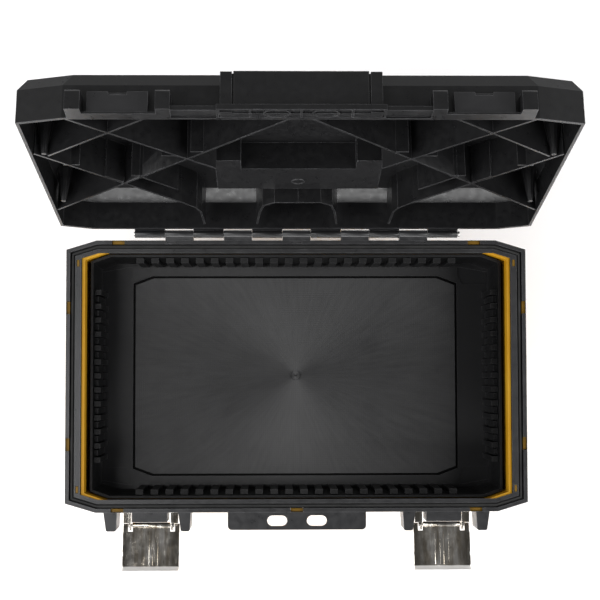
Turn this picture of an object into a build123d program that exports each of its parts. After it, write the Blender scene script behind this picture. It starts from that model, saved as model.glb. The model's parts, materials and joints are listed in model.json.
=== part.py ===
from build123d import *
import os
from math import atan2, copysign, cos, degrees, hypot, radians, sin

# Stackable site toolbox with a lift-out tray, in millimetres.
# The origin is the bottom centre of the box, +Z is up and +Y is the hinge side.
# Parts of the lid and of the latches are drawn closed, and turned to the open pose at the end.

# Body
RIM_HEIGHT = 264.0
RIM_HALF_X = 277.0
RIM_HALF_Y = 163.0
RIM_CORNER = (36.4, 11.1)
INNER_CORNER = (25.0, 8.5)
RIDGE_WIDTH = 4.6
GROOVE_WIDTH = 5.9
INNER_RIDGE_WIDTH = 4.6
SKIRT_DEPTH = 28.0
WEB_DEPTH = (9.0, 14.0)
WALL = 3.6
UPPER_HALF = (255.0, 148.5)
LOWER_HALF = (243.0, 135.0)
BASE_HALF = (239.0, 131.0)
BUCKET_TOP = RIM_HEIGHT - 5.0
LEDGE_Z = 160.6
LEDGE_THICKNESS = 4.0
FLOOR_Z = 3.0
FLOOR_THICKNESS = 4.0

# Snap tabs of the bucket, seen in windows of the frame
TAB_LENGTH = 14.6
TAB_SIDE_Y = 82.0
TAB_END_X = 214.8
CORNER_TAB_X = (261.6, 264.4)
CORNER_TAB_Y = (131.8, 139.6)

# Tray
TRAY_FLOOR_Z = 161.0
TRAY_FLOOR = 3.0
TRAY_TOP_Z = 244.0
TRAY_TOP_HALF = (249.8, 147.4)
TRAY_LOW_HALF = (247.8, 145.2)
TRAY_WALL = 2.6
TRAY_WALL_JOINT = 137.2
SIDE_RIBS = 13
SIDE_RIB_PITCH = 17.0
END_TEETH = 22
END_TOOTH_PITCH = 18.2

# Lid, drawn closed
LID_HALF_X = 281.4
LID_FRONT_CORNER = (47.0, 12.0)
LID_REAR_CORNER = (37.0, 11.0)
LID_GAP = 0.4
LID_SIDE_HEIGHT = 35.4
LID_HEIGHT = 48.4
LID_BEVEL = (9.5, 4.0, 18.0)
LID_BLOCK_HEIGHT = 44.1
LID_WALL = 3.2
LID_RIB = 2.2
LID_OPEN_DEG = 103.4

# Hinge
HINGE_Y = RIM_HALF_Y + 8.1
HINGE_Z = RIM_HEIGHT - 3.0
KNUCKLE_R = 4.6
HINGE_PIN_R = 2.5
HINGE_PITCH = 70.7
LID_KNUCKLE = 36.2
BOX_KNUCKLE = 33.6

# Latches
LATCH_X = 176.2
LATCH_Y = -181.0
LATCH_Z = RIM_HEIGHT - 30.0
LATCH_HALF = 34.0
LATCH_OPEN_DEG = 78.0
LATCH_PIN_R = 1.6
LATCH_KNUCKLE_R = 3.3
LATCH_KNUCKLE_HALF = 22.7
SHEET = 1.8
STRIKE_X = 179.4
STRIKE_HALF = 29.8
STRIKE_TOP = 25.0
STRIKE_FACE = 8.0
POSTS = ((124.2, 141.2), (212.2, 230.4))
LID_POSTS = ((127.4, 141.6), (214.0, 229.0))
POST_REACH = 22.4
POST_DEPTH = 42.0

# Padlock flange
FLANGE_HALF_X = 82.7
FLANGE_REACH = 21.0
FLANGE_THICKNESS = 4.2
SLOT_X = 23.7
SLOT_Y = -173.2
SLOT_LENGTH = 23.8
SLOT_WIDTH = 12.6

# Small slots in the rim's rear edge
REAR_SLOT_X = (-150, 0, 150)

# Carry handle, in the lid's recess
RECESS_FLOOR = 16.5
RECESS_HALF_X = 88.4
RECESS_INNER_X = 65.4
RECESS_BACK_Y = 60.5
RECESS_MID_Y = 5.5
RECESS_FRONT_Y = -18.0
RECESS_WALL = 2.5
HANDLE_PIVOT_Y = -9.0
HANDLE_PIVOT_W = 31.0
HANDLE_HALF_THICKNESS = 8.0
HANDLE_ARM_X = (66.4, 86.6)
HANDLE_BAR_Y = (36.0, 56.0)
HANDLE_PIN_R = 3.0


def block(x, y, z):
    """A box between two corners, each axis given as (low, high)."""
    size = [high - low for low, high in (x, y, z)]
    middle = [(high + low) / 2 for low, high in (x, y, z)]
    return Pos(*middle) * Box(*size)


def cylinder_x(radius, x, y, z):
    """A cylinder along X between x[0] and x[1]."""
    length = x[1] - x[0]
    return Pos((x[0] + x[1]) / 2, y, z) * Rot(0, 90, 0) * Cylinder(radius, length)


def outline(half_x, half_y, corner, rear_corner=None, shift_y=0.0):
    """A rectangle with its four corners cut off."""
    front_x, front_y = corner
    rear_x, rear_y = rear_corner or corner
    return [
        (-half_x, -half_y + front_y + shift_y),
        (-half_x + front_x, -half_y + shift_y),
        (half_x - front_x, -half_y + shift_y),
        (half_x, -half_y + front_y + shift_y),
        (half_x, half_y - rear_y + shift_y),
        (half_x - rear_x, half_y + shift_y),
        (-half_x + rear_x, half_y + shift_y),
        (-half_x, half_y - rear_y + shift_y),
    ]


def flat(points, z):
    return Pos(0, 0, z) * make_face(Polyline(*points, close=True))


def prism(points, z_low, z_high):
    return extrude(flat(points, z_low), z_high - z_low, dir=(0, 0, 1))


def tapered(low_points, z_low, high_points, z_high):
    return loft([flat(low_points, z_low), flat(high_points, z_high)], ruled=True)


def profile_x(points, x):
    """A (y, z) outline extruded along X between x[0] and x[1]."""
    face = Plane.YZ * make_face(Polyline(*points, close=True))
    return Pos(x[0], 0, 0) * extrude(face, x[1] - x[0], dir=(1, 0, 0))


def rim_inset(distance):
    """The rim's outline moved inwards, with its corner cuts kept parallel."""
    cut_x, cut_y = RIM_CORNER
    slant = hypot(cut_x, cut_y)
    corner = (
        cut_x - distance * (1 + (cut_x - slant) / cut_y),
        cut_y - distance * (1 + (cut_y - slant) / cut_x),
    )
    return outline(RIM_HALF_X - distance, RIM_HALF_Y - distance, corner)


def ring(outer, inner, z_low, z_high):
    """A closed band between two distances in from the rim's outer edge."""
    return prism(rim_inset(outer), z_low, z_high) - prism(rim_inset(inner), z_low - 1, z_high + 1)


def slot_cut(x, y, z_low, z_high, length=SLOT_LENGTH, width=SLOT_WIDTH):
    return Pos(x, y, z_low) * extrude(SlotOverall(length, width), z_high - z_low)


def both_sides(shape):
    return shape + mirror(shape, Plane.YZ)


def wall_line(points, z_low, z_high, width=LID_RIB):
    """A thin upright wall along a line of points, with round joints."""
    parts = []
    for (x0, y0), (x1, y1) in zip(points, points[1:]):
        length = hypot(x1 - x0, y1 - y0) + width / 2
        middle = Pos((x0 + x1) / 2, (y0 + y1) / 2, (z_low + z_high) / 2)
        turn = Rot(0, 0, degrees(atan2(y1 - y0, x1 - x0)))
        parts.append(middle * turn * Box(length, width, z_high - z_low))
    for x, y in points[1:-1]:
        parts.append(Pos(x, y, (z_low + z_high) / 2) * Cylinder(width / 2, z_high - z_low))
    return Part() + parts


# Bucket


def tab_places():
    """The middle of each snap tab, and whether it lies along X."""
    sides = [(s * (RIM_HALF_X - 2.4), t * TAB_SIDE_Y, False) for s in (-1, 1) for t in (-1, 1)]
    ends = [(s * TAB_END_X, t * (RIM_HALF_Y - 2.4), True) for s in (-1, 1) for t in (-1, 1)]
    return sides + ends + [(0.0, -(RIM_HALF_Y - 2.4), True)]


def tab_block(place, z_low, z_high, play=0.0):
    x, y, along_x = place
    size_x, size_y = (TAB_LENGTH, 3.6) if along_x else (3.6, TAB_LENGTH)
    body = Box(size_x + 2 * play, size_y + 2 * play, z_high - z_low)
    return Pos(x, y, (z_low + z_high) / 2) * body


def bucket():
    step = LEDGE_Z - LEDGE_THICKNESS
    upper_outer = outline(UPPER_HALF[0] + WALL, UPPER_HALF[1] + WALL, INNER_CORNER)
    lower_outer = outline(LOWER_HALF[0] + WALL, LOWER_HALF[1] + WALL, INNER_CORNER)
    base_outer = outline(BASE_HALF[0] + WALL, BASE_HALF[1] + WALL, INNER_CORNER)
    low_inner = outline(*BASE_HALF, INNER_CORNER)
    high_inner = outline(*LOWER_HALF, INNER_CORNER)
    body = tapered(base_outer, FLOOR_Z, lower_outer, step)
    body += bucket_ribs()
    body += prism(upper_outer, step, BUCKET_TOP)
    body += bucket_flange()
    body += corner_blocks(0.0, RIM_HEIGHT - 30, RIM_HEIGHT - WEB_DEPTH[1] - 0.6, root=5.0)
    body += corner_blocks(0.0, RIM_HEIGHT - 20, RIM_HEIGHT - 2.6)
    body -= prism(outline(*UPPER_HALF, INNER_CORNER), LEDGE_Z, RIM_HEIGHT)
    body -= tapered(low_inner, FLOOR_Z + FLOOR_THICKNESS, high_inner, LEDGE_Z + 0.01)
    return body - foot_recesses()


def corner_blocks(play, z_low, z_high, root=0.0):
    """Small tabs beside the bucket's wall, in notches of the frame's inner ridge."""
    blocks = []
    for side in (-1, 1):
        for hand in (-1, 1):
            x = sorted((side * (CORNER_TAB_X[0] - play - root), side * (CORNER_TAB_X[1] + play)))
            y = sorted((hand * (CORNER_TAB_Y[0] - play), hand * (CORNER_TAB_Y[1] + play)))
            blocks.append(block(x, y, (z_low, z_high)))
    return Part() + blocks


def bucket_flange():
    """The outward flange under the frame, with its upright snap tabs."""
    z_low, z_high = RIM_HEIGHT - 26.0, RIM_HEIGHT - 23.0
    band = prism(rim_inset(RIDGE_WIDTH + 1.6), z_low, z_high)
    for x, y, along_x in tab_places():
        foot = Box(TAB_LENGTH, 12, z_high - z_low) if along_x else Box(12, TAB_LENGTH, z_high - z_low)
        inward = (0, -copysign(4.2, y)) if along_x else (-copysign(4.2, x), 0)
        band += Pos(x + inward[0], y + inward[1], (z_low + z_high) / 2) * foot
        band += tab_block((x, y, along_x), z_low, RIM_HEIGHT - 3.6)
    return band


def bucket_ribs():
    """Upright stiffening ribs under the ledge, outside."""
    ribs = []
    half_x, half_y = LOWER_HALF[0] + WALL, LOWER_HALF[1] + WALL
    z = (14.0, LEDGE_Z - LEDGE_THICKNESS)
    for x in (-196, -98, 0, 98, 196):
        for side in (-1, 1):
            y = sorted((side * (half_y - 6.0), side * (half_y + 9.0)))
            ribs.append(block((x - 1.6, x + 1.6), y, z))
    for y in (-84, 0, 84):
        for side in (-1, 1):
            x = sorted((side * (half_x - 6.0), side * (half_x + 9.0)))
            ribs.append(block(x, (y - 1.6, y + 1.6), z))
    return Part() + ribs


FOOT_PLACES = [(x, y) for x in (-190, 190) for y in (-92, 92)]


def foot_pads():
    pad = extrude(SlotOverall(64, 26), 4.0)
    return Part() + [Pos(x, y, 0) * pad for x, y in FOOT_PLACES]


def foot_recesses():
    hole = extrude(SlotOverall(64, 26), 3.0)
    return Part() + [Pos(x, y, 1.0) * hole for x, y in FOOT_PLACES]


# Frame on the bucket's rim


def rim_frame():
    top = RIM_HEIGHT
    ridge_in = RIDGE_WIDTH
    groove_in = ridge_in + GROOVE_WIDTH
    inner_in = groove_in + INNER_RIDGE_WIDTH
    frame = ring(0.0, ridge_in, top - SKIRT_DEPTH + 4, top)
    frame += ring(0.0, inner_in, top - WEB_DEPTH[1], top - WEB_DEPTH[0])
    frame += ring(groove_in, inner_in, top - WEB_DEPTH[1], top - 2.0)
    inside = outline(UPPER_HALF[0] + WALL + 0.5, UPPER_HALF[1] + 0.6, (14.8, 4.5))
    frame += prism(rim_inset(groove_in + 1), top - WEB_DEPTH[1], top - 2.0) - prism(inside, 0, top + 1)
    frame += padlock_flange()
    frame += both_sides(latch_seat())
    frame += box_knuckles()
    frame -= inner_clearance()
    frame -= corner_blocks(0.45, RIM_HEIGHT - 40, RIM_HEIGHT + 1)
    for x in REAR_SLOT_X:
        frame -= block((x - 6.5, x + 6.5), (RIM_HALF_Y - 3.6, RIM_HALF_Y - 2.0), (RIM_HEIGHT - 3, RIM_HEIGHT + 1))
    for place in tab_places():
        frame -= tab_block(place, top - POST_DEPTH - 1, top + 1, 0.4)
    for side in (-1, 1):
        for hand in (-1, 1):
            frame -= rivet_shape(side, hand, 1.52)
    return frame - hinge_bore(HINGE_PIN_R + 0.02)


def inner_clearance():
    """Room for the bucket's wall inside the frame, under the inner ridge."""
    half_x, half_y = UPPER_HALF[0] + WALL + 0.3, UPPER_HALF[1] + WALL + 0.3
    return prism(outline(half_x, half_y, INNER_CORNER), RIM_HEIGHT - 40, BUCKET_TOP + 0.4)


def padlock_flange():
    plate = block(
        (-FLANGE_HALF_X, FLANGE_HALF_X),
        (-RIM_HALF_Y - FLANGE_REACH, -RIM_HALF_Y + 2),
        (RIM_HEIGHT - 0.8 - FLANGE_THICKNESS, RIM_HEIGHT - 0.8),
    )
    front = plate.edges().filter_by(Axis.Z).sort_by(Axis.Y)[:2]
    plate = fillet(front, 5)
    rail = ((-FLANGE_HALF_X + 6, FLANGE_HALF_X - 6), (-RIM_HALF_Y - 2, -RIM_HALF_Y + 2))
    plate += block(*rail, (RIM_HEIGHT - 20, RIM_HEIGHT - 2))
    for x in (-SLOT_X, SLOT_X):
        plate -= slot_cut(x, SLOT_Y, RIM_HEIGHT - 10, RIM_HEIGHT + 1)
    return plate


def latch_seat():
    """Posts on both sides of the right latch, and the boss behind its pin."""
    low = RIM_HEIGHT - POST_DEPTH
    seat = block((POSTS[0][0], POSTS[1][1]), (-RIM_HALF_Y, -RIM_HALF_Y + 4.6), (low, RIM_HEIGHT - 1))
    for x_low, x_high in POSTS:
        foot = [
            (x_low + 2.6, -RIM_HALF_Y + 2),
            (x_low + 4.0, -RIM_HALF_Y - POST_REACH),
            (x_high - 2.5, -RIM_HALF_Y - POST_REACH),
            (x_high + 1.0, -RIM_HALF_Y + 2),
        ]
        post = prism(foot, low, RIM_HEIGHT - 1.2)
        seat += fillet(post.edges().filter_by(Axis.Z).sort_by(Axis.Y)[:2], 2.5)
    boss_x = (LATCH_X - 21.0, LATCH_X + 21.0)
    return seat + block(boss_x, (-174.6, -RIM_HALF_Y + 2), (low + 2, RIM_HEIGHT - 2.5))


def box_knuckles():
    knuckles = []
    for i in range(-2, 3):
        x = (i * HINGE_PITCH - BOX_KNUCKLE / 2, i * HINGE_PITCH + BOX_KNUCKLE / 2)
        arm = [
            (RIM_HALF_Y - 2, RIM_HEIGHT - 16),
            (HINGE_Y + 1, HINGE_Z - KNUCKLE_R + 0.1),
            (HINGE_Y, HINGE_Z),
            (HINGE_Y - 2, HINGE_Z + 3.0),
            (RIM_HALF_Y - 2, RIM_HEIGHT - 1.5),
        ]
        knuckles += [cylinder_x(KNUCKLE_R, x, HINGE_Y, HINGE_Z), profile_x(arm, x)]
    return Part() + knuckles


def hinge_bore(radius):
    return cylinder_x(radius, (-230, 230), HINGE_Y, HINGE_Z)


def hinge_pin():
    pin = cylinder_x(HINGE_PIN_R, (-196, 196), HINGE_Y, HINGE_Z)
    return pin + cylinder_x(3.6, (196, 197.5), HINGE_Y, HINGE_Z)


def rim_seal():
    outer = RIDGE_WIDTH + 0.4
    inner = RIDGE_WIDTH + GROOVE_WIDTH - 0.4
    seal = ring(outer, inner, RIM_HEIGHT - WEB_DEPTH[0], RIM_HEIGHT - 5.5)
    return seal + ring(outer + 1.4, inner - 1.4, RIM_HEIGHT - 5.5, RIM_HEIGHT - 2.5)


# Latches, drawn closed about LATCH_X, then opened


def opened_latch(shape):
    axis = Axis((0, LATCH_Y, LATCH_Z), (1, 0, 0))
    return shape.rotate(axis, LATCH_OPEN_DEG)


def latch_plate(side):
    """A pressed plate with a rolled knuckle, side flanges, flutes and a hooked lip."""
    centre = side * LATCH_X
    x = (centre - LATCH_HALF, centre + LATCH_HALF)
    face = LATCH_Y - LATCH_KNUCKLE_R
    knuckle_x = (centre - LATCH_KNUCKLE_HALF, centre + LATCH_KNUCKLE_HALF)
    tip = LATCH_Z + 57.4
    plate = block(x, (face, face + SHEET), (LATCH_Z - 2, tip - 7))
    for hand in (-1, 1):
        slot = sorted((centre + hand * LATCH_KNUCKLE_HALF, centre + hand * 28.4))
        plate -= block(slot, (face - 1, face + SHEET + 1), (LATCH_Z - 3, LATCH_Z + 7.5))
    plate += block(knuckle_x, (face, face + SHEET), (LATCH_Z, LATCH_Z + 9))
    plate += cylinder_x(LATCH_KNUCKLE_R, knuckle_x, LATCH_Y, LATCH_Z)
    hook = [
        (face, tip - 8),
        (face + SHEET, tip - 8),
        (face + 9.0, tip - SHEET),
        (face + 18.6, tip - SHEET),
        (face + 18.6, tip),
        (face + 8.2, tip),
    ]
    plate += profile_x(hook, x)
    for edge in (x[0], x[1] - SHEET):
        plate += block((edge, edge + SHEET), (face, face + 6.0), (LATCH_Z + 9, LATCH_Z + 33))
        plate += block((edge, edge + SHEET), (face, face + 6.0), (LATCH_Z + 37, tip - 9))
    for offset in (-5.2, 5.2):
        flute = Pos(centre + offset, face + SHEET, LATCH_Z + 28) * Cylinder(3.2, 40)
        plate += flute & block(x, (face + 0.2, face + 3.2), (LATCH_Z, tip))
    plate -= cylinder_x(LATCH_PIN_R + 0.05, x, LATCH_Y, LATCH_Z)
    return opened_latch(plate)


def latch_bracket(side):
    """Two steel ears on feet that lie against the frame."""
    parts = []
    for hand in (-1, 1):
        ear_x = sorted((side * LATCH_X + hand * 24.0, side * LATCH_X + hand * 26.2))
        foot_x = sorted((side * LATCH_X + hand * 24.0, side * LATCH_X + hand * 33.0))
        ear = block(ear_x, (LATCH_Y, -RIM_HALF_Y - 0.1), (LATCH_Z - 6, LATCH_Z + 6))
        ear += cylinder_x(6.0, ear_x, LATCH_Y, LATCH_Z)
        foot = block(foot_x, (-RIM_HALF_Y - 2.1, -RIM_HALF_Y - 0.1), (LATCH_Z - 9, LATCH_Z + 9))
        shelf = block(foot_x, (LATCH_Y + 3.2, -RIM_HALF_Y - 0.1), (LATCH_Z + 7.0, LATCH_Z + 8.6))
        parts += [ear + block(ear_x, (LATCH_Y + 3.2, -RIM_HALF_Y - 0.1), (LATCH_Z, LATCH_Z + 8)), shelf]
        parts.append(foot - rivet_shape(side, hand, 1.52))
    body = Part() + parts
    return body - cylinder_x(LATCH_PIN_R + 0.02, (side * LATCH_X - 40, side * LATCH_X + 40), LATCH_Y, LATCH_Z)


def rivet_shape(side, hand, radius):
    x = side * LATCH_X + hand * 29.6
    return Pos(x, -RIM_HALF_Y + 0.9, LATCH_Z) * Rot(90, 0, 0) * Cylinder(radius, 8.0)


def bracket_rivets():
    rivets = []
    for side in (-1, 1):
        for hand in (-1, 1):
            head = Pos(side * LATCH_X + hand * 29.6, -RIM_HALF_Y - 2.7, LATCH_Z) * Rot(90, 0, 0)
            rivets.append(rivet_shape(side, hand, 1.5) + head * Cylinder(2.6, 1.2))
    return Part() + rivets


def latch_pin(side):
    middle = side * LATCH_X
    pin = cylinder_x(LATCH_PIN_R, (middle - 27.4, middle + 27.4), LATCH_Y, LATCH_Z)
    for hand in (-1, 1):
        x = sorted((middle + hand * 26.3, middle + hand * 27.8))
        pin += cylinder_x(2.8, x, LATCH_Y, LATCH_Z)
    return pin


# Lid, drawn closed: w is the height above the rim


def w(height):
    return RIM_HEIGHT + height


def opened_lid(shape):
    return shape.rotate(Axis((0, HINGE_Y, HINGE_Z), (1, 0, 0)), -LID_OPEN_DEG)


def lid_outline(inset_x, inset_front, inset_rear):
    half_y = RIM_HALF_Y - (inset_front + inset_rear) / 2
    shift = (inset_front - inset_rear) / 2
    return outline(LID_HALF_X - inset_x, half_y, LID_FRONT_CORNER, LID_REAR_CORNER, shift)


def lid_hollow():
    side, front, rear = LID_BEVEL
    low = lid_outline(LID_WALL, LID_WALL, LID_WALL)
    high = lid_outline(side + LID_WALL, front + LID_WALL, rear + LID_WALL)
    cavity = prism(low, w(-5), w(LID_SIDE_HEIGHT - 1.8))
    return cavity + tapered(low, w(LID_SIDE_HEIGHT - 1.8), high, w(LID_HEIGHT - LID_WALL))


def lid_body():
    low = lid_outline(0, 0, 0)
    return prism(low, w(LID_GAP), w(LID_SIDE_HEIGHT)) + tapered(
        low, w(LID_SIDE_HEIGHT), lid_outline(*LID_BEVEL), w(LID_HEIGHT)
    )


def lid_y(distance):
    """Y of a point this far forward of the lid's rear edge."""
    return RIM_HALF_Y - distance


# Each rib as (x, distance from the rear edge) at both ends, on the left half
LID_RIBS = (
    ((-236, 326), (-90, 194)),
    ((-150, 326), (-262, 228)),
    ((-276, 233), (-134, 92)),
    ((-10, 324), (-276, 66)),
    ((-173, 170), (-135, 131)),
    ((-134, 92), (-117, 72), (-112, 58), (-109.7, 17)),
    ((0, 89), (-26, 89), (-39, 79), (-43.5, 58), (-47.3, 17)),
    ((-209.6, 169.8), (-192.8, 153)),
)


# Short cross walls on the ribs, and round bosses near the sides, at (x, distance from the rear edge)
RIB_NUBS = ((-173, 170), (-105, 237), (-136, 226), (-242, 200.6))
SIDE_BOSSES = ((-266, 94), (-266, 233))
FRAGMENT = 1.0


def side_boss(x, y):
    """A boss that widens from its tip to the lid's roof."""
    turns = [radians(30 * i) for i in range(12)]
    tip, foot = ([(x + r * cos(a), y + r * sin(a)) for a in turns] for r in (2.6, 11.0))
    return tapered(tip, w(1.0), foot, w(LID_HEIGHT))


def rib_plates():
    """Every straight rib, cross wall and boss of the lid, on both halves."""
    lines = [pair for points in LID_RIBS for pair in zip(points, points[1:])]
    walls = [wall_line([(x, lid_y(v)) for x, v in pair], w(1.0), w(LID_HEIGHT)) for pair in lines]
    nubs = [
        wall_line([(x - 8, lid_y(v)), (x + 8, lid_y(v))], w(2.0), w(LID_HEIGHT)) for x, v in RIB_NUBS
    ]
    bosses = [side_boss(x, lid_y(v)) for x, v in SIDE_BOSSES]
    half = walls + nubs + bosses
    return half + [mirror(shape, Plane.YZ) for shape in half]


def lid_ribs():
    """The ribs as plates that stand against each other and against the shell."""
    room = lid_hollow() - prism(recess_plan(RECESS_WALL), w(RECESS_FLOOR - RECESS_WALL), w(LID_HEIGHT))
    plates = rib_plates()
    pieces = []
    for i, plate in enumerate(plates):
        free = plate & room
        for earlier in plates[:i]:
            free = free - earlier
        pieces += [solid for solid in free.solids() if solid.volume > FRAGMENT]
    return opened_lid(Compound(pieces))


def recess_plan(margin):
    """The carry handle's recess: a wide back part and two arms reaching forward."""
    half = RECESS_HALF_X + margin
    inner = RECESS_INNER_X - margin
    back, middle, front = RECESS_BACK_Y + margin, RECESS_MID_Y - margin, RECESS_FRONT_Y - margin
    return [
        (-half, back),
        (-half, front),
        (-inner, front),
        (-inner, middle),
        (inner, middle),
        (inner, front),
        (half, front),
        (half, back),
    ]


def lid_front():
    """Centre block, posts, latch catches and the flange along the lid's front."""
    face = -RIM_HALF_Y
    front = block((-79.5, 79.5), (face - 9.0, face + 2), (w(1.5), w(LID_BLOCK_HEIGHT - 0.2)))
    for hand in (-1, 1):
        x = sorted((hand * 68.0, hand * 79.5))
        front += block(x, (face - 12.0, face), (w(1.5), w(LID_BLOCK_HEIGHT + 0.6)))
        ledge = sorted((hand * 80, hand * 130))
        front += block(ledge, (face - 19, face + 2), (w(2.6), w(5.0)))
        front += block(ledge, (face - 19, face - 17.2), (w(LID_GAP), w(5.0)))
        catch = sorted((hand * (LATCH_X - 35), hand * (LATCH_X + 39)))
        front += block(catch, (face - 10, face + 2), (w(LID_GAP), w(2.6)))
        base = sorted((hand * (STRIKE_X - STRIKE_HALF), hand * (STRIKE_X + STRIKE_HALF)))
        front += block(base, (face - 5.0, face + 2), (w(2.0), w(STRIKE_TOP - SHEET)))
        for low, high in LID_POSTS:
            post_x = sorted((hand * low, hand * high))
            post = block(post_x, (face - 21.4, face + 2), (w(LID_GAP), w(21.4)))
            front += fillet(post.edges().filter_by(Axis.X).sort_by(Axis.Y)[:2].sort_by(Axis.Z)[-1:], 3)
    return front + lid_flange()


def lid_flange():
    face = -RIM_HALF_Y
    x = (-FLANGE_HALF_X, FLANGE_HALF_X)
    plate = block(x, (face - FLANGE_REACH, face + 2), (w(3.2), w(6.0)))
    skirt = block(x, (face - FLANGE_REACH, face), (w(LID_GAP), w(6.0)))
    hollow = block((x[0] + 2, x[1] - 2), (face - FLANGE_REACH + 2, face - 1.5), (w(0), w(3.2)))
    flange = plate + (skirt - hollow)
    for rib_x in (-50, 0, 50):
        flange += block((rib_x - 1, rib_x + 1), (face - FLANGE_REACH, face), (w(1.0), w(4)))
    for hole_x in (-SLOT_X, SLOT_X):
        flange += slot_cut(hole_x, SLOT_Y, w(LID_GAP), w(6.0), SLOT_LENGTH + 3, SLOT_WIDTH + 3)
        flange -= slot_cut(hole_x, SLOT_Y, w(-2), w(8))
    return flange


def lid_knuckles():
    knuckles = []
    for i in range(6):
        middle = (i - 2.5) * HINGE_PITCH
        x = (middle - LID_KNUCKLE / 2, middle + LID_KNUCKLE / 2)
        arm = [
            (RIM_HALF_Y - 2, w(LID_GAP)),
            (HINGE_Y - 2.6, w(LID_GAP)),
            (HINGE_Y, HINGE_Z),
            (HINGE_Y + KNUCKLE_R - 0.2, HINGE_Z + 0.5),
            (HINGE_Y + 2.5, w(2.0)),
            (RIM_HALF_Y - 2, w(10)),
        ]
        knuckles += [cylinder_x(KNUCKLE_R, x, HINGE_Y, HINGE_Z), profile_x(arm, x)]
    return Part() + knuckles


def lid_shell():
    solid = lid_body()
    shell = solid - lid_hollow()
    shell += prism(recess_plan(RECESS_WALL), w(RECESS_FLOOR - RECESS_WALL), w(LID_HEIGHT))
    shell -= prism(recess_plan(0), w(RECESS_FLOOR), w(LID_HEIGHT + 2))
    shell += Pos(0, RECESS_BACK_Y - 20, w(RECESS_FLOOR - RECESS_WALL - 0.3)) * (Cylinder(7.5, 1) - Cylinder(6.2, 1))
    shell += lid_front()
    shell += lid_knuckles()
    shell -= hinge_bore(HINGE_PIN_R + 0.05)
    shell -= handle_pin_bodies(HANDLE_PIN_R + 0.02)
    return opened_lid(shell)


def lid_badge_panel():
    face = -RIM_HALF_Y
    panel = block((-66.6, 66.6), (face - 12.2, face - 9.0), (w(7.0), w(LID_BLOCK_HEIGHT + 1.6)))
    panel += block((-66.6, 66.6), (face - 12.2, face - 1), (w(LID_BLOCK_HEIGHT), w(LID_BLOCK_HEIGHT + 1.6)))
    front = panel.faces().sort_by(Axis.Y)[0]
    return opened_lid(chamfer(front.edges(), 0.8))


def strike_plate(side):
    face = -RIM_HALF_Y
    x = (side * STRIKE_X - STRIKE_HALF, side * STRIKE_X + STRIKE_HALF)
    plate = block(x, (face - STRIKE_FACE, face - 5.0), (w(3.0), w(STRIKE_TOP)))
    plate += block(x, (face - STRIKE_FACE, face - 0.4), (w(STRIKE_TOP - SHEET), w(STRIKE_TOP)))
    notch_x = (side * STRIKE_X - 9, side * STRIKE_X + 9)
    plate -= block(notch_x, (face - STRIKE_FACE - 1, face - 5.0), (w(STRIKE_TOP - 3.4), w(STRIKE_TOP + 1)))
    return opened_lid(plate)


# Carry handle, drawn stowed in the closed lid


def handle_pin_bodies(radius):
    pins = []
    for hand in (-1, 1):
        x = sorted((hand * 63.2, hand * 90.6))
        pins.append(cylinder_x(radius, x, HANDLE_PIVOT_Y, w(HANDLE_PIVOT_W)))
    return Part() + pins


def handle_pins():
    return opened_lid(handle_pin_bodies(HANDLE_PIN_R))


def carry_handle():
    low, high = HANDLE_PIVOT_W - HANDLE_HALF_THICKNESS, HANDLE_PIVOT_W + HANDLE_HALF_THICKNESS
    parts = []
    for hand in (-1, 1):
        x = sorted((hand * HANDLE_ARM_X[0], hand * HANDLE_ARM_X[1]))
        arm = block(x, (HANDLE_PIVOT_Y, HANDLE_BAR_Y[1]), (w(low), w(high)))
        parts += [arm, cylinder_x(HANDLE_HALF_THICKNESS, x, HANDLE_PIVOT_Y, w(HANDLE_PIVOT_W))]
    core_y = (HANDLE_BAR_Y[0] + 4, HANDLE_BAR_Y[1] - 4)
    parts.append(block((-70, 70), core_y, (w(low + 2.5), w(high - 2.5))))
    handle = Part() + parts
    corners = handle.edges().filter_by(Axis.Z).sort_by(Axis.Y)[-4:]
    handle = fillet([e for e in corners if abs(e.center().X) > 80], 8)
    return opened_lid(handle - handle_pin_bodies(HANDLE_PIN_R + 0.06))


def handle_grip():
    low, high = HANDLE_PIVOT_W - HANDLE_HALF_THICKNESS - 1, HANDLE_PIVOT_W + HANDLE_HALF_THICKNESS + 1
    sleeve = block((-60, 60), (HANDLE_BAR_Y[0] - 1, HANDLE_BAR_Y[1] + 1), (w(low), w(high)))
    sleeve = fillet(sleeve.edges().filter_by(Axis.X), 6)
    core_y = (HANDLE_BAR_Y[0] + 4, HANDLE_BAR_Y[1] - 4)
    return opened_lid(sleeve - block((-65, 65), core_y, (w(low + 3.5), w(high - 3.5))))


# Tray


def tray_ribs():
    """Long and short ribs on the end walls, and square teeth on the long walls."""
    parts = []
    z_low = TRAY_FLOOR_Z + 1
    for i in range(SIDE_RIBS):
        y = (i - (SIDE_RIBS - 1) / 2) * SIDE_RIB_PITCH
        parts.append(block((238.4, 246.2), (y - 3.0, y + 3.0), (z_low, TRAY_TOP_Z - 7)))
    for i in range(SIDE_RIBS - 1):
        y = (i - (SIDE_RIBS - 2) / 2) * SIDE_RIB_PITCH
        parts.append(block((241.8, 246.2), (y - 3.3, y + 3.3), (z_low, TRAY_TOP_Z - 12)))
    sides = both_sides(Part() + parts)
    teeth = []
    for i in range(END_TEETH):
        x = (i - (END_TEETH - 1) / 2) * END_TOOTH_PITCH
        teeth.append(block((x - 4.5, x + 4.5), (137.9, 144.0), (z_low, TRAY_TOP_Z - 9)))
    ends = Part() + teeth
    return sides + ends + mirror(ends, Plane.XZ)


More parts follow.
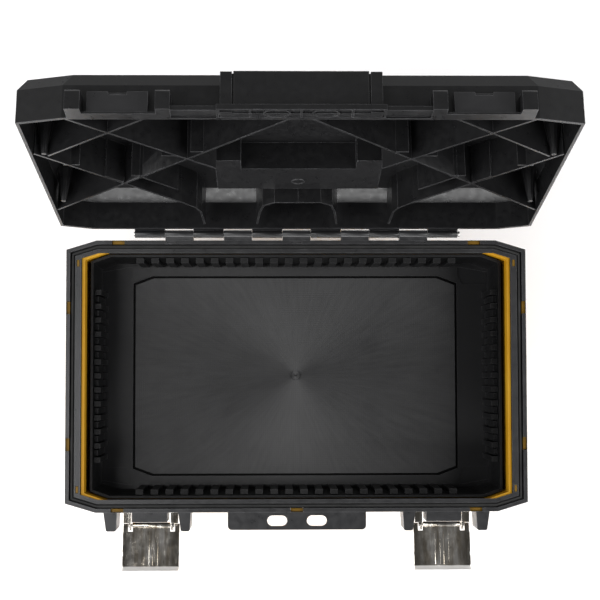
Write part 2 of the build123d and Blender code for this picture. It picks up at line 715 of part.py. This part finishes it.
def tray_floor_lines():
    """A groove round the floor's middle panel, and its four sunk corner pads."""
    z = TRAY_FLOOR_Z + TRAY_FLOOR
    grooves = prism(outline(206.4, 126.9, (24.2, 9.1)), z - 1.8, z + 1)
    grooves -= prism(outline(203.4, 123.9, (23.4, 8.7)), z - 2, z + 2)
    pad = [(-246, 132), (-212, 138), (-207.5, 138), (-207.5, 126.5), (-213.8, 115.8), (-246, 115.8)]
    pads = prism(pad, z - 1.5, z + 1)
    pads = both_sides(pads)
    return grooves + pads + mirror(pads, Plane.XZ)


def tray():
    low = outline(*TRAY_LOW_HALF, (22.0, 8.0))
    high = outline(*TRAY_TOP_HALF, (22.0, 8.0))
    body = tapered(low, TRAY_FLOOR_Z, high, TRAY_TOP_Z)
    low_in = outline(TRAY_LOW_HALF[0] - TRAY_WALL, TRAY_LOW_HALF[1] - TRAY_WALL, (21.0, 7.6))
    high_in = outline(TRAY_TOP_HALF[0] - TRAY_WALL, TRAY_TOP_HALF[1] - TRAY_WALL, (21.0, 7.6))
    floor = TRAY_FLOOR_Z + TRAY_FLOOR
    body -= tapered(low_in, floor, high_in, TRAY_TOP_Z + 1)
    body += tray_ribs()
    body -= tray_floor_lines()
    boss = Pos(0, 0, floor - 0.5) * Cylinder(6.4, 3.4)
    body += boss - Pos(0, 0, floor + 1.2) * (Cylinder(5.2, 0.8) - Cylinder(1.6, 2))
    return tray_panels(body, floor)


def tray_panels(body, floor):
    """The tray as its floor and four walls, each a plain panel with its own ribs or teeth."""
    heights = (floor, TRAY_TOP_Z + 1)
    base = block((-260, 260), (-160, 160), (TRAY_FLOOR_Z - 1, floor))
    base += block((-20, 20), (-20, 20), (floor - 1, floor + 3))
    zones = [base]
    for low, high in ((-160, -TRAY_WALL_JOINT), (TRAY_WALL_JOINT, 160)):
        zones.append(block((-260, 260), (low, high), heights))
    for low, high in ((-260, -200), (200, 260)):
        zones.append(block((low, high), (-TRAY_WALL_JOINT, TRAY_WALL_JOINT), heights))
    return Compound([solid for zone in zones for solid in (body & zone).solids()])


def parts():
    yield "bucket", bucket()
    yield "foot_pads", foot_pads()
    yield "rim_frame", rim_frame()
    yield "rim_seal", rim_seal()
    yield "hinge_pin", hinge_pin()
    yield "bracket_rivets", bracket_rivets()
    for name, side in (("left", -1), ("right", 1)):
        yield "latch_bracket_" + name, latch_bracket(side)
        yield "latch_pin_" + name, latch_pin(side)
        yield "latch_plate_" + name, latch_plate(side)
        yield "strike_plate_" + name, strike_plate(side)
    yield "lid_shell", lid_shell()
    yield "lid_ribs", lid_ribs()
    yield "lid_badge_panel", lid_badge_panel()
    yield "carry_handle", carry_handle()
    yield "handle_grip", handle_grip()
    yield "handle_pins", handle_pins()
    yield "tray", tray()


os.makedirs("parts", exist_ok=True)
for name, shape in parts():
    export_step(shape, "parts/" + name + ".step")
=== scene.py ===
import json
import math

import bmesh
import bpy
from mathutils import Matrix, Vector


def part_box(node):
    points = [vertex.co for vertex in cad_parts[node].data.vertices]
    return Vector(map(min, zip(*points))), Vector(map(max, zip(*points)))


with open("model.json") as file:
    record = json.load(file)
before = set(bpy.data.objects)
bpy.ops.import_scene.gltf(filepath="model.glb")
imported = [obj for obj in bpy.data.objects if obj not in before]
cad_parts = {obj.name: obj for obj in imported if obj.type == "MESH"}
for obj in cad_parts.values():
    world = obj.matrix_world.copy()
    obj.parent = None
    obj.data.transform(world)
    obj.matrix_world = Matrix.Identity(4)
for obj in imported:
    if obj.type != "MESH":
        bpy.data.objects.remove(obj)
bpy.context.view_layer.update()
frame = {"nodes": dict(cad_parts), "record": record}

MM = 0.001
NODES = frame["nodes"]
RIM_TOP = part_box("rim_frame")[1].z
BUCKET_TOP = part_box("bucket")[1].z
TRAY_LOW, TRAY_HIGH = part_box("tray")
LATCH_LOW, LATCH_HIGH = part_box("latch_plate_right")
LATCH_MIDDLE = (LATCH_LOW.x + LATCH_HIGH.x) / 2

# The tray's floor: its top, its middle panel, and the heights of the groove round that panel, where a painted
# shade is laid
FLOOR_TOP = TRAY_LOW.z + 3.0 * MM
PANEL_HALF = (204.0 * MM, 124.5 * MM)
PANEL_CORNER = 187.4 * MM
PANEL_CORNER_SLOPE = 0.35
GROOVE = (FLOOR_TOP - 2.7 * MM, FLOOR_TOP - 1.65 * MM)
# Painted shade: the tray's walls darken between these heights
WALL_SHADE_HEIGHTS = (FLOOR_TOP + 2.0 * MM, FLOOR_TOP + 30.0 * MM)
RULING = 2 * math.pi / (2.4 * MM)

# Painted shade darkens the bucket's snap tabs, which stand above its wall, and a near-black painted shade
# covers that wall's inside behind and before the tray
TAB_SHADE_FROM = (BUCKET_TOP - 1.9 * MM, BUCKET_TOP - 1.3 * MM)
SHADED_WALL_AT, SHADED_WALL_PLAY = TRAY_HIGH.y + 1.3 * MM, 1.0 * MM
SHADED_WALL_HALF_X = TRAY_HIGH.x - 22.0 * MM
SHADED_WALL_FROM = TRAY_HIGH.z - 4.0 * MM

# The latch plates darken to the sides, and have a satin lip with a painted highlight
LATCH_SIDES = (16.0 * MM, 30.0 * MM)
LATCH_LIP_HIGHLIGHT = (LATCH_LOW.y + 6.8 * MM, LATCH_LOW.y + 6.0 * MM)

# Moulded surfaces
GRAIN_SCALE = 1400.0
GRAIN_DEPTH = 0.06 * MM
WAVE_SCALE = 22.0
WAVE_DEPTH = 0.4 * MM
# A paler black for small scuffs and for the painted highlight on edges
SCUFF_AND_HIGHLIGHT_BLACK = (0.12, 0.12, 0.125)


# Materials


class Shader:
    """A Principled material whose nodes are added one by one."""

    def __init__(self, name, colour, roughness, metallic=0.0, specular=0.5):
        self.material = bpy.data.materials.new(name)
        self.material.use_nodes = True
        self.tree = self.material.node_tree
        self.main = self.tree.nodes["Principled BSDF"]
        self.colour = colour
        self.set(self.main.inputs["Base Color"], colour)
        self.set(self.main.inputs["Roughness"], roughness)
        self.set(self.main.inputs["Metallic"], metallic)
        self.set(self.main.inputs["Specular IOR Level"], specular)
        self.position = self.node("ShaderNodeTexCoord").outputs["Object"]

    def node(self, kind, **inputs):
        made = self.tree.nodes.new(kind)
        for name, value in inputs.items():
            self.set(made.inputs[name], value)
        return made

    def set(self, socket, value):
        """Links a socket, or gives it a plain value. A colour is given as (red, green, blue)."""
        if isinstance(value, bpy.types.NodeSocket):
            self.tree.links.new(value, socket)
        elif socket.type == "RGBA":
            socket.default_value = (*value, 1.0)
        else:
            socket.default_value = value

    def axes(self):
        split = self.node("ShaderNodeSeparateXYZ", Vector=self.position)
        return (split.outputs[axis] for axis in "XYZ")

    def stretched(self, scale):
        return self.node("ShaderNodeMapping", Vector=self.position, Scale=scale).outputs["Vector"]

    def noise(self, scale, detail=3.0, vector=None, rough=0.55):
        made = self.node("ShaderNodeTexNoise", Scale=scale, Detail=detail, Roughness=rough)
        self.set(made.inputs["Vector"], vector or self.position)
        return made.outputs["Fac"]

    def ramp(self, value, low, high, out_low=0.0, out_high=1.0):
        made = self.node("ShaderNodeMapRange", Value=value)
        for name, number in (("From Min", low), ("From Max", high), ("To Min", out_low), ("To Max", out_high)):
            made.inputs[name].default_value = number
        return made.outputs["Result"]

    def mix(self, factor, first, second):
        made = self.tree.nodes.new("ShaderNodeMix")
        made.data_type = "RGBA"
        self.set(made.inputs["Factor"], factor)
        first_colour, second_colour = (socket for socket in made.inputs if socket.type == "RGBA")
        self.set(first_colour, first)
        self.set(second_colour, second)
        return next(socket for socket in made.outputs if socket.type == "RGBA")

    def math(self, operation, *values):
        made = self.tree.nodes.new("ShaderNodeMath")
        made.operation = operation
        for socket, value in zip(made.inputs, values):
            self.set(socket, value)
        return made.outputs[0]

    def product(self, first, *others):
        for other in others:
            first = self.math("MULTIPLY", first, other)
        return first

    def below(self, value, limit):
        return self.math("LESS_THAN", value, limit)

    def above(self, value, limit):
        return self.math("GREATER_THAN", value, limit)

    def clouds(self, scale, strength):
        """Large soft patches."""
        return self.ramp(self.noise(scale, 5.0), 0.35, 0.65, 0.0, strength)

    def patches(self, scale, low, high, detail=3.0):
        """A value that wanders between low and high."""
        return self.ramp(self.noise(scale, detail), 0.3, 0.7, low, high)

    def bump(self, height, distance, strength=1.0, normal=None):
        made = self.node("ShaderNodeBump", Height=height, Strength=strength, Distance=distance)
        if normal is not None:
            self.set(made.inputs["Normal"], normal)
        return made.outputs["Normal"]

    def grain(self):
        """Fine moulding grain over slow waves."""
        fine = self.bump(self.noise(GRAIN_SCALE, 2.0), GRAIN_DEPTH, 0.7)
        return self.bump(self.noise(WAVE_SCALE, 2.0), WAVE_DEPTH, 0.25, fine)

    def edges(self, radius):
        """1 near sharp edges and 0 on open faces."""
        bevel = self.node("ShaderNodeBevel", Radius=radius)
        bevel.samples = 4
        geometry = self.node("ShaderNodeNewGeometry")
        dot = self.tree.nodes.new("ShaderNodeVectorMath")
        dot.operation = "DOT_PRODUCT"
        self.set(dot.inputs[0], bevel.outputs["Normal"])
        self.set(dot.inputs[1], geometry.outputs["Normal"])
        return self.ramp(dot.outputs["Value"], 0.995, 0.80)

    def finish(self, colour, roughness, normal):
        self.set(self.main.inputs["Base Color"], colour)
        self.set(self.main.inputs["Roughness"], roughness)
        self.set(self.main.inputs["Normal"], normal)
        return self.material


def black_plastic(name, colour, roughness, specular):
    """Moulded plastic: fine grain, faint flow clouds, paler edges that are a painted highlight, and small
    scuffs.
    """
    s = Shader(name, colour, roughness, specular=specular)
    lighter = tuple(part * 1.35 + 0.002 for part in colour)
    tone = s.mix(s.clouds(9.0, 0.6), s.colour, lighter)
    patchy = s.ramp(s.noise(60.0, 4.0), 0.42, 0.68, 0.4, 1.0)
    # Painted highlight: edges are lightened in patches
    edge_highlight = s.product(s.edges(0.8 * MM), patchy)
    scuffs = s.ramp(s.noise(1.0, 6.0, s.stretched((900.0, 40.0, 300.0)), 0.7), 0.74, 0.86, 0.0, 0.14)
    tone = s.mix(s.math("MAXIMUM", edge_highlight, scuffs), tone, SCUFF_AND_HIGHLIGHT_BLACK)
    return s.finish(tone, s.patches(130.0, roughness - 0.07, roughness + 0.08), s.grain())


def bucket_plastic():
    """Yellow plastic, with painted shade on its snap tabs, a near-black painted shade inside its wall behind
    and before the tray, and a painted highlight on its edges.
    """
    s = Shader("bucket_yellow", (0.36, 0.175, 0.004), 0.5, specular=0.2)
    x, y, z = s.axes()
    tone = s.mix(s.clouds(11.0, 0.5), s.colour, (0.46, 0.26, 0.02))
    # Painted highlight along the edges
    tone = s.mix(s.product(s.edges(0.8 * MM), 0.5), tone, (0.60, 0.36, 0.05))
    # Painted shade on the snap tabs
    tone = s.mix(s.ramp(z, *TAB_SHADE_FROM, 0.0, 0.75), tone, (0.04, 0.026, 0.004))
    # Painted shade, near black, on the wall's inside behind and before the tray
    on_wall = s.math("COMPARE", s.math("ABSOLUTE", y), SHADED_WALL_AT, SHADED_WALL_PLAY)
    inner_wall_shade = s.product(on_wall, s.below(s.math("ABSOLUTE", x), SHADED_WALL_HALF_X), s.above(z, SHADED_WALL_FROM))
    tone = s.mix(inner_wall_shade, tone, (0.006, 0.005, 0.004))
    return s.finish(tone, s.patches(130.0, 0.38, 0.54), s.grain())


def panel_mask(s, x, y, z):
    """1 on the middle panel of the tray's floor, a rectangle with cut corners."""
    along, across = s.math("ABSOLUTE", x), s.math("ABSOLUTE", y)
    corner = s.math("ADD", s.product(along, PANEL_CORNER_SLOPE), across)
    sides = s.product(s.below(along, PANEL_HALF[0]), s.below(across, PANEL_HALF[1]))
    return s.product(sides, s.below(corner, PANEL_CORNER), s.below(z, FLOOR_TOP + MM))


def panel_colour(s, x, y):
    """Cloudy dark grey, with paler rays that fan out from the middle, a painted sheen."""
    radius = s.math("SQRT", s.math("ADD", s.product(x, x), s.product(y, y)))
    polar = s.node("ShaderNodeCombineXYZ", X=s.math("ARCTAN2", y, x), Y=radius)
    # Painted sheen: paler rays round the middle
    sheen_rays = s.ramp(s.noise(26.0, 3.0, polar.outputs["Vector"]), 0.35, 0.7, 0.0, 0.35)
    tone = s.mix(s.patches(14.0, 0.0, 1.0, 4.0), (0.018, 0.018, 0.0186), (0.025, 0.025, 0.0256))
    return s.mix(sheen_rays, tone, (0.038, 0.038, 0.039))


def turned(s):
    """Highlights that lie round the middle, as on a face turned on a lathe."""
    tangent = s.node("ShaderNodeTangent")
    tangent.direction_type = "RADIAL"
    tangent.axis = "Z"
    s.set(s.main.inputs["Anisotropic"], 0.75)
    s.set(s.main.inputs["Tangent"], tangent.outputs["Tangent"])


def tray_plastic():
    """Black plastic whose floor panel is finely ruled both ways and turned about its middle, with painted
    shade high on the walls and in the groove round the panel, and a painted highlight on edges.
    """
    s = Shader("tray_plastic", (0.0085, 0.0085, 0.009), 0.5)
    x, y, z = s.axes()
    panel = panel_mask(s, x, y, z)
    # Painted shade: the walls darken higher up, and their specular is lowered
    high_wall_shade = s.ramp(z, *WALL_SHADE_HEIGHTS, 0.0, 0.6)
    # Painted shade in the groove round the panel
    groove_shade = s.product(s.above(z, GROOVE[0]), s.below(z, GROOVE[1]))
    body = s.mix(s.clouds(9.0, 0.5), s.colour, (0.013, 0.013, 0.0135))
    # Painted shade on the upper walls
    body = s.mix(high_wall_shade, body, (0.002, 0.002, 0.0021))
    tone = s.mix(panel, body, panel_colour(s, x, y))
    # Painted highlight along the edges
    tone = s.mix(s.product(s.edges(0.7 * MM), 0.25), tone, (0.11, 0.11, 0.115))
    # Painted shade: the groove is darkened to near black
    tone = s.mix(s.product(groove_shade, 0.9), tone, (0.001, 0.001, 0.001))
    shade_dull = s.math("MAXIMUM", groove_shade, high_wall_shade)
    s.set(s.main.inputs["Specular IOR Level"], s.ramp(shade_dull, 0.0, 1.0, 0.28, 0.04))
    turned(s)
    lines = s.math("ADD", s.math("SINE", s.product(x, RULING)), s.math("SINE", s.product(y, RULING)))
    fine = s.bump(s.noise(1200.0, 2.0), 0.06 * MM, 0.6)
    ruled = s.bump(s.product(lines, panel), 0.04 * MM, 0.5, fine)
    return s.finish(tone, s.patches(130.0, 0.42, 0.52), ruled)


def rubber(name, colour):
    s = Shader(name, colour, 0.8, specular=0.25)
    tone = s.mix(s.patches(40.0, 0.0, 1.0, 4.0), s.colour, tuple(part * 1.7 for part in colour))
    return s.finish(tone, s.patches(200.0, 0.72, 0.88), s.bump(s.noise(900.0, 2.0), 0.1 * MM, 0.8))


def drawn_steel():
    """Plain steel, with drawing lines along X."""
    s = Shader("drawn_steel", (0.42, 0.41, 0.40), 0.35, metallic=1.0)
    streak = s.noise(1.0, 4.0, s.stretched((30.0, 900.0, 900.0)))
    tone = s.mix(s.ramp(streak, 0.3, 0.7), s.colour, (0.58, 0.57, 0.55))
    return s.finish(tone, s.ramp(streak, 0.3, 0.7, 0.28, 0.45), s.bump(streak, 0.05 * MM, 0.4))


def plated_steel():
    """Bright plating over pressed sheet: wavy, in paler and darker upright bands, darker to the sides, with a
    painted highlight on the lip and fine rolling lines.
    """
    s = Shader("plated_steel", (0.46, 0.41, 0.34), 0.16, metallic=1.0)
    x, y, _ = s.axes()
    upright_bands = s.ramp(s.noise(1.0, 5.0, s.stretched((150.0, 26.0, 26.0))), 0.38, 0.62)
    tone = s.mix(upright_bands, s.colour, (0.90, 0.87, 0.82))
    specks = s.ramp(s.noise(420.0, 4.0), 0.60, 0.72, 0.0, 0.5)
    tone = s.mix(specks, tone, (0.16, 0.145, 0.125))
    aside = s.math("ABSOLUTE", s.math("SUBTRACT", s.math("ABSOLUTE", x), LATCH_MIDDLE))
    tone = s.mix(s.ramp(aside, *LATCH_SIDES, 0.0, 0.75), tone, (0.17, 0.155, 0.13))
    # Painted highlight on the satin lip
    lip_highlight = s.ramp(y, *LATCH_LIP_HIGHLIGHT)
    tone = s.mix(lip_highlight, tone, (0.97, 0.96, 0.95))
    s.set(s.main.inputs["Metallic"], s.ramp(lip_highlight, 0.0, 1.0, 1.0, 0.35))
    rough = s.math("ADD", s.patches(90.0, 0.08, 0.24, 4.0), s.product(lip_highlight, 0.4))
    wavy = s.bump(s.noise(1.0, 2.0, s.stretched((130.0, 30.0, 30.0))), 1.2 * MM, 0.3)
    lines = s.bump(s.noise(1.0, 3.0, s.stretched((1400.0, 60.0, 60.0))), 0.04 * MM, 0.5, wavy)
    return s.finish(tone, rough, lines)


SLOT_MATERIALS = {
    "lid_plastic": black_plastic("lid_plastic", (0.0052, 0.0052, 0.0056), 0.33, 0.36),
    "frame_plastic": black_plastic("frame_plastic", (0.0125, 0.0125, 0.0134), 0.34, 0.42),
    "bucket_yellow": bucket_plastic(),
    "tray_plastic": tray_plastic(),
    "seal_rubber": rubber("seal_rubber", (0.012, 0.012, 0.012)),
    "grip_rubber": rubber("grip_rubber", (0.016, 0.016, 0.017)),
    "pin_steel": drawn_steel(),
    "latch_steel": plated_steel(),
}
SMALL_BEVEL = 0.3
BEVELS = {
    "bucket": 0.8,
    "rim_frame": 0.5,
    "lid_shell": 0.6,
    "tray": 0.45,
    "carry_handle": 1.5,
    "foot_pads": 1.0,
}


def finish_nodes():
    """Gives each CAD node its material and small moulded edges."""
    for part in frame["record"]["subparts"]:
        obj = NODES[part["node"]]
        obj.data.materials.clear()
        obj.data.materials.append(SLOT_MATERIALS[part["material_slot"]])
        weld = obj.modifiers.new("join_faces", "WELD")
        weld.merge_threshold = 0.01 * MM
        bevel = obj.modifiers.new("moulded_edges", "BEVEL")
        bevel.width = BEVELS.get(part["node"], SMALL_BEVEL) * MM
        bevel.segments = 2
        bevel.limit_method = "ANGLE"
        bevel.angle_limit = math.radians(38)
        bevel.harden_normals = True


# Light, floor and camera

RIM_MIDDLE = (0.0, 0.0, RIM_TOP)
# Each lamp: its place, what it faces, its width and height, and its power in watts
LAMPS = {
    "key": ((-1.2, -0.15, 2.1), RIM_MIDDLE, (0.7, 1.2), 26),
    "fill": ((1.6, -0.3, 1.7), RIM_MIDDLE, (1.2, 1.2), 34),
    "over": ((-0.3, -1.3, 1.9), RIM_MIDDLE, (0.7, 0.4), 7),
    "front": ((0.0, -2.0, 0.56), (0.0, 0.2, 0.36), (3.0, 0.6), 44),
    "left": ((-1.9, -0.6, 1.1), RIM_MIDDLE, (1.2, 1.0), 26),
}
FLOOR_HALF = 6.0
CAMERA_PLACE = (-0.0259, 0.0031, RIM_TOP + 1.6544)
CAMERA_TURN = (0.0530, -0.0180, -0.0020)
CAMERA_LENS, CAMERA_SENSOR = 82.6, 36.0


def add_to_scene(name, data):
    made = bpy.data.objects.new(name, data)
    bpy.context.scene.collection.objects.link(made)
    return made


def add_lamp(name, place, target, size, power):
    data = bpy.data.lights.new(name, "AREA")
    data.shape = "RECTANGLE"
    data.size, data.size_y = size
    data.energy = power
    lamp = add_to_scene(name, data)
    lamp.location = place
    lamp.rotation_euler = (Vector(target) - Vector(place)).to_track_quat("-Z", "Y").to_euler()


def add_sky():
    """A studio that is dark overhead and bright round the horizon."""
    world = bpy.data.worlds.new("studio")
    world.use_nodes = True
    tree = world.node_tree
    direction = tree.nodes.new("ShaderNodeTexCoord")
    split = tree.nodes.new("ShaderNodeSeparateXYZ")
    strength = tree.nodes.new("ShaderNodeMapRange")
    for name, number in (("From Min", 0.1), ("From Max", 0.95), ("To Min", 1.05), ("To Max", 0.14)):
        strength.inputs[name].default_value = number
    background = tree.nodes["Background"]
    background.inputs["Color"].default_value = (1, 1, 1, 1)
    tree.links.new(direction.outputs["Generated"], split.inputs["Vector"])
    tree.links.new(split.outputs["Z"], strength.inputs["Value"])
    tree.links.new(strength.outputs["Result"], background.inputs["Strength"])
    bpy.context.scene.world = world


def add_floor():
    mesh = bpy.data.meshes.new("floor")
    builder = bmesh.new()
    bmesh.ops.create_grid(builder, x_segments=1, y_segments=1, size=FLOOR_HALF)
    builder.to_mesh(mesh)
    builder.free()
    mesh.materials.append(Shader("floor_paint", (0.95, 0.95, 0.96), 0.9, specular=0.1).material)
    floor = add_to_scene("floor", mesh)


def add_camera():
    data = bpy.data.cameras.new("camera")
    data.sensor_width = CAMERA_SENSOR
    data.lens = CAMERA_LENS
    camera = add_to_scene("camera", data)
    camera.location = CAMERA_PLACE
    camera.rotation_euler = CAMERA_TURN
    bpy.context.scene.camera = camera


finish_nodes()
bpy.context.scene.view_settings.view_transform = "Standard"
add_sky()
for lamp_name, settings in LAMPS.items():
    add_lamp(lamp_name, *settings)
add_floor()
add_camera()
